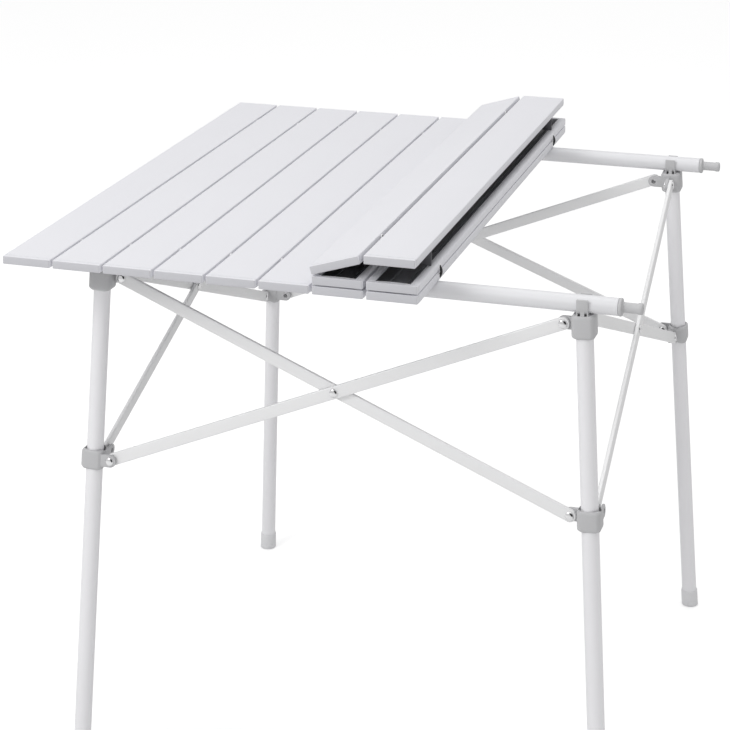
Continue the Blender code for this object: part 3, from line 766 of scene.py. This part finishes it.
def add_lugs(block, corner, level, z):
    """The two lugs that carry the bar ends of the sides that meet at a corner."""
    for side in [s for s, pair in SIDES.items() if corner in pair]:
        place = side_frame(side)
        x, y = in_side(side, pivot(side, corner, z))
        axis_x, _ = in_side(side, leg_axis(corner, z))
        low, high = lug_layer(side, corner, level)
        start = (axis_x + (x - axis_x) * LUG_START, y)
        lug = prism("Lug", stadium(start, (x, y), LUG_R), place, low, high, PLASTIC)
        soften(lug, SOFT_LUG, segments=2)
        hole = frame_of(place @ Vector((x, y, 0)), side_normal(side), side_right(side))
        profile = [(RIVET_R + CLEAR, low - 0.002), (RIVET_R + CLEAR, high + 0.002)]
        combine(lug, lathe("Drill", profile, hole, PLASTIC, segments=24), "DIFFERENCE")
        combine(block, lug, "UNION")


def octagon(half_x, half_y, cut, soft):
    """A rectangle with broad chamfers, each chamfer's two edges softened."""
    points, nip = [], 0.3 * soft
    for sx, sy, turned in ((1, -1, True), (1, 1, False), (-1, 1, True), (-1, -1, False)):
        corner = [(half_x, half_y - cut - soft), (half_x - nip, half_y - cut + nip),
                  (half_x - cut + nip, half_y - nip), (half_x - cut - soft, half_y)]
        points += [(sx * x, sy * y) for x, y in (reversed(corner) if turned else corner)]
    return points


def rounded_block(name, half_x, half_y, place, height, mat):
    """An octagonal block whose top and bottom edges are well rounded."""
    turns = [math.pi / 2 * i / EDGE_STEPS for i in range(EDGE_STEPS + 1)]
    insets = [(EDGE_HIGH * (1 - math.cos(a)), EDGE_IN * (1 - math.sin(a))) for a in turns]
    insets += [(height - z, inset) for z, inset in reversed(insets)]
    levels = [(z, octagon(half_x - inset, half_y - inset, BLOCK_CUT, BLOCK_SOFT)) for z, inset in insets]
    return loft(name, levels, place, mat)


def u_shape(half_width, depth, rise, segments=40):
    """A round-bottomed trough, open side up."""
    turns = [-math.pi * i / segments for i in range(segments, -1, -1)]
    arc = [(half_width * math.cos(a), depth * math.sin(a)) for a in turns]
    return [(-half_width, rise)] + arc + [(half_width, rise)]


def add_clip_ribs(block, x, y):
    """Two pockets in the block's top, and the ribs that stand under the cradle."""
    level = Matrix.Identity(4)
    for across in (-CLIP_POCKET_X, CLIP_POCKET_X):
        shape = rounded(POCKET_HALF, CLIP_LENGTH_HALF, POCKET_CORNER, x + across, y)
        pocket = prism("Pocket", shape, level, BLOCK_HIGH - POCKET_DEEP, BLOCK_HIGH + POCKET_DEEP, PLASTIC)
        combine(block, pocket, "DIFFERENCE")
    edge = CLIP_HALF - CLIP_EDGE_HALF
    for across, half in ((-edge, CLIP_EDGE_HALF), (0, CLIP_RIB_HALF), (edge, CLIP_EDGE_HALF)):
        shape = rectangle(half, CLIP_LENGTH_HALF, x + across, y)
        rib = prism("Rib", shape, level, BLOCK_HIGH - RIB_ROOT, RAIL_Z - RIB_TOP, PLASTIC)
        combine(block, rib, "UNION")


def make_top_connector(corner):
    """The block on a leg's top end, with two lugs and the cradle that the rail lies in."""
    place, height = leg_frame(corner, BLOCK_LOW), along(BLOCK_HIGH, BLOCK_LOW)
    block = rounded_block(f"Top connector {corner}", BLOCK_HALF, BLOCK_HALF, place, height, PLASTIC)
    add_lugs(block, corner, "top", TOP_PIVOT_Z)
    socket_r = TUBE_R + SOCKET_ROOM
    profile = [(socket_r, -BEYOND), (socket_r, height - SOCKET_ROOF)]
    socket = lathe("Socket", profile, place, PLASTIC, segments=64)
    combine(block, socket, "DIFFERENCE")
    x, y = leg_axis(corner, BLOCK_HIGH).x, CORNERS[corner][1] * RAIL_Y
    add_clip_ribs(block, x, y)
    at, outer = frame_of((x, y, RAIL_Z), (1, 0, 0), (0, 1, 0)), RAIL_R + CLIP_WALL
    shell = prism("Cradle", u_shape(outer, outer, CLIP_RISE), at, -CLIP_HALF, CLIP_HALF, PLASTIC)
    soften(shell, SOFT_CRADLE, segments=2, angle=50)
    combine(block, shell, "UNION")
    side = RAIL_R + (CRADLE_PLAY if corner == "rear_right" else CRADLE_ROOM)
    room = prism("Room", u_shape(side, RAIL_R + CRADLE_ROOM, BEYOND), at, -BEYOND, BEYOND, PLASTIC)
    combine(block, room, "DIFFERENCE")
    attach(block, LEG_BODY[corner])
    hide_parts(f"top_connector_{corner}")


def make_collar(corner):
    """The collar that slides on a leg, with two lugs. Its slotted bore allows for the leg's changing tilt."""
    place, height = leg_frame(corner, COLLAR_LOW), along(COLLAR_HIGH, COLLAR_LOW)
    half, slot = (COLLAR_WIDE, COLLAR_SLIM), (COLLAR_SLOT, 0)
    if corner.startswith("rear"):
        half, slot = half[::-1], slot[::-1]
    block = rounded_block(f"Collar {corner}", *half, place, height, PLASTIC)
    add_lugs(block, corner, "low", LOW_PIVOT_Z)
    hole = stadium((-slot[0], -slot[1]), slot, TUBE_R + SLOT_ROOM, steps=24)
    combine(block, prism("Bore", hole, place, -BEYOND, height + BEYOND, PLASTIC), "DIFFERENCE")
    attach(block, "collar_" + corner)
    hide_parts(f"sliding_collar_{corner}")


# ---- braces ----------------------------------------------------------------------------------

def make_bar(side, bar):
    """A flat brace bar with round ends and three rivet holes."""
    place, body = side_frame(side), f"brace_{side}_{bar}"
    top, low = (in_side(side, p) for p in bar_ends(side, bar))
    mat, hole_r = BAR_X if side in ("front", "rear") else BAR_Y, RIVET_R + 0.0002
    piece = prism(body + " visual", stadium(top, low, BAR_HALF, steps=20), place, *bar_layer(bar), mat)
    soften(piece, SOFT_BAR)
    for x, y in (top, low, in_side(side, crossing(side))):
        at = frame_of(place @ Vector((x, y, 0)), side_normal(side), side_right(side))
        combine(piece, lathe("Drill", [(hole_r, -BEYOND), (hole_r, BEYOND)], at, mat, 24), "DIFFERENCE")
    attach(piece, body)
    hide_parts(body)


def dome(low_head, low, high, high_head):
    """A rivet's profile: shank from low to high, with domed heads where asked."""
    profile = [(r * HEAD_R, low - h * HEAD_H) for r, h in reversed(DOME)] if low_head else [(0, low)]
    profile += [(RIVET_R, low), (RIVET_R, high)]
    profile += [(r * HEAD_R, high + h * HEAD_H) for r, h in DOME] if high_head else [(0, high)]
    return profile


def make_rivet(name, side, centre, profile, body, *nodes):
    at = frame_of(centre, side_normal(side), side_right(side))
    rivet = lathe(name, profile, at, CHROME, segments=32, sharp=SHARP_TURNED)
    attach(rivet, body)
    if nodes:
        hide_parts(*nodes)


def make_washer(name, side, centre, low, high, body):
    at = frame_of(centre, side_normal(side), side_right(side))
    profile = [(WASHER_IN, low), (WASHER_OUT, low), (WASHER_OUT, high), (WASHER_IN, high)]
    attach(lathe_ring(name, profile, at, PLASTIC, segments=32), body)


def make_side_rivets(side):
    """A side's rivets: one at the crossing, two at the top, two at the bottom."""
    profile = dome(True, bar_layer("inner")[0] - CLEAR, bar_layer("outer")[1] + CLEAR, True)
    body, node = f"brace_{side}_inner", f"rivet_cross_{side}"
    make_rivet(f"Crossing rivet {side}", side, crossing(side), profile, body, node)
    for corner, bar in zip(SIDES[side], ("inner", "outer")):
        make_top_rivet(side, corner, bar)
    for corner, bar in zip(SIDES[side], ("outer", "inner")):
        make_low_rivet(side, corner, bar)


def make_top_rivet(side, corner, bar):
    """A rivet through bar and lug; at the pivot that is left open, a stub that stays with the bar."""
    layer, lug = bar_layer(bar), lug_layer(side, corner, "top")
    node, centre = f"rivet_top_{side}_{corner}", pivot(side, corner, TOP_PIVOT_Z)
    body, profile = LEG_BODY[corner], dome(True, lug[0] - CLEAR, layer[1] + CLEAR, True)
    if is_loose(side, corner, "top"):
        body, profile = f"brace_{side}_{bar}", dome(False, layer[0] + CLEAR, layer[1] + CLEAR, True)
    make_rivet(node + " visual", side, centre, profile, body, node)


def make_low_rivet(side, corner, bar):
    """A rivet through bar and lug; at a pivot left open, a stub and a washer that stay with the bar."""
    layer, lug = bar_layer(bar), lug_layer(side, corner, "low")
    centre, body = pivot(side, corner, LOW_PIVOT_Z), f"brace_{side}_{bar}"
    profile = dome(True, min(layer[0], lug[0]) - TOUCH, max(layer[1], lug[1]) + TOUCH, True)
    if is_loose(side, corner, "low"):
        if bar == "inner":
            profile = dome(False, layer[0] + 2 * TOUCH, layer[1] + TOUCH, True)
            near = (layer[0] - TOUCH - WASHER_T, layer[0] - TOUCH)
        else:
            profile = dome(True, layer[0] - TOUCH, layer[1] - 2 * TOUCH, False)
            near = (layer[1] + TOUCH, layer[1] + TOUCH + WASHER_T)
        make_washer(f"Washer {side} {corner}", side, centre, *near, body)
    make_rivet(f"Lower rivet {side} {corner}", side, centre, profile, body)


# ---- stage -----------------------------------------------------------------------------------

def camera_ray(tree):
    return tree.nodes.new("ShaderNodeLightPath").outputs["Is Camera Ray"]


def make_floor():
    """A pale floor, lifted towards white for the camera only, so that it throws little light back up."""
    mat = node_material("Pale floor", (0.80, 0.80, 0.80), 0.0, 0.9, 60, bump=0.02, shade=0.003)
    tree = mat.node_tree
    shader = tree.nodes["Principled BSDF"]
    feed(tree, 0.0, shader.inputs["Specular IOR Level"])
    feed(tree, (1, 1, 1, 1), shader.inputs["Emission Color"])
    feed(tree, product(tree, camera_ray(tree), FLOOR_LIFT), shader.inputs["Emission Strength"])
    bpy.ops.mesh.primitive_plane_add(size=FLOOR_SIZE, location=(0, 0, FLOOR_Z))
    floor = bpy.context.object
    floor.name = "Floor"
    floor.data.materials.append(mat)


def make_world():
    """White to the camera. The light it gives is a little weaker overhead than at the horizon."""
    world = bpy.data.worlds.new("Soft white")
    bpy.context.scene.world = world
    world.use_nodes = True
    tree = world.node_tree
    background = tree.nodes["Background"]
    parts = tree.nodes.new("ShaderNodeSeparateXYZ")
    feed(tree, tree.nodes.new("ShaderNodeTexCoord").outputs["Generated"], parts.inputs["Vector"])
    light = remap(tree, parts.outputs["Z"], WORLD_SIDE, WORLD_TOP, 0.0, 0.9)
    choose = tree.nodes.new("ShaderNodeMix")
    factor, otherwise, if_camera = 0, 2, 3
    feed(tree, camera_ray(tree), choose.inputs[factor])
    feed(tree, light, choose.inputs[otherwise])
    feed(tree, 1.0, choose.inputs[if_camera])
    feed(tree, choose.outputs[0], background.inputs["Strength"])
    feed(tree, (1, 1, 1, 1), background.inputs["Color"])


def make_lamps():
    for name, place, size, power in LAMPS:
        light = bpy.data.lights.new(name, "AREA")
        light.energy = power
        light.size = size
        lamp = bpy.data.objects.new(name, light)
        lamp.location = place
        lamp.rotation_euler = (LAMP_TARGET - Vector(place)).to_track_quat("-Z", "Y").to_euler()
        bpy.context.scene.collection.objects.link(lamp)


def shift_here(camera, axis, amount):
    """Lens shift tied to the camera's present place: the curve gives none once the camera has moved."""
    curve = camera.data.driver_add(axis)
    curve.driver.type = "AVERAGE"
    place = curve.driver.variables.new()
    place.targets[0].id = camera
    place.targets[0].data_path = "location.x"
    curve.modifiers.remove(curve.modifiers[0])
    here = camera.location.x
    for x, value in ((here - 1, 0.0), (here - SHIFT_REACH, amount), (here + SHIFT_REACH, 0.0)):
        curve.keyframe_points.insert(x, value).interpolation = "CONSTANT"


def make_camera():
    """The photograph's viewpoint, with its uprights kept upright by lens shift."""
    data = bpy.data.cameras.new("Camera")
    camera = bpy.data.objects.new("Camera", data)
    bpy.context.scene.collection.objects.link(camera)
    bpy.context.scene.camera = camera
    turn, down = CAMERA_TURN, CAMERA_DOWN
    ahead = Vector((math.sin(turn) * math.cos(down), math.cos(turn) * math.cos(down), -math.sin(down)))
    camera.location = CAMERA_PLACE
    camera.rotation_euler = ahead.to_track_quat("-Z", "Y").to_euler()
    data.sensor_width = SENSOR
    data.lens = LENS
    data.clip_start = 0.05
    data.clip_end = FLOOR_SIZE
    shift_here(camera, "shift_x", SHIFT_X)
    shift_here(camera, "shift_y", SHIFT_Y)


for slat_number in range(1, 13):
    make_slat(slat_number)
for slat_number in range(1, 12):
    for cord_y in (-CORD_Y, CORD_Y):
        make_cord(slat_number, cord_y)
for slat_number in (1, 12):
    for at_rear in (False, True):
        make_bracket(slat_number, at_rear)
for at_rear in (False, True):
    make_rail(at_rear)
for corner_name in CORNERS:
    make_leg(corner_name)
    make_top_connector(corner_name)
    make_collar(corner_name)
for side_name in SIDES:
    for bar_name in ("inner", "outer"):
        make_bar(side_name, bar_name)
    make_side_rivets(side_name)
make_floor()
make_world()
make_lamps()
make_camera()
bpy.context.scene.view_settings.view_transform = "Standard"
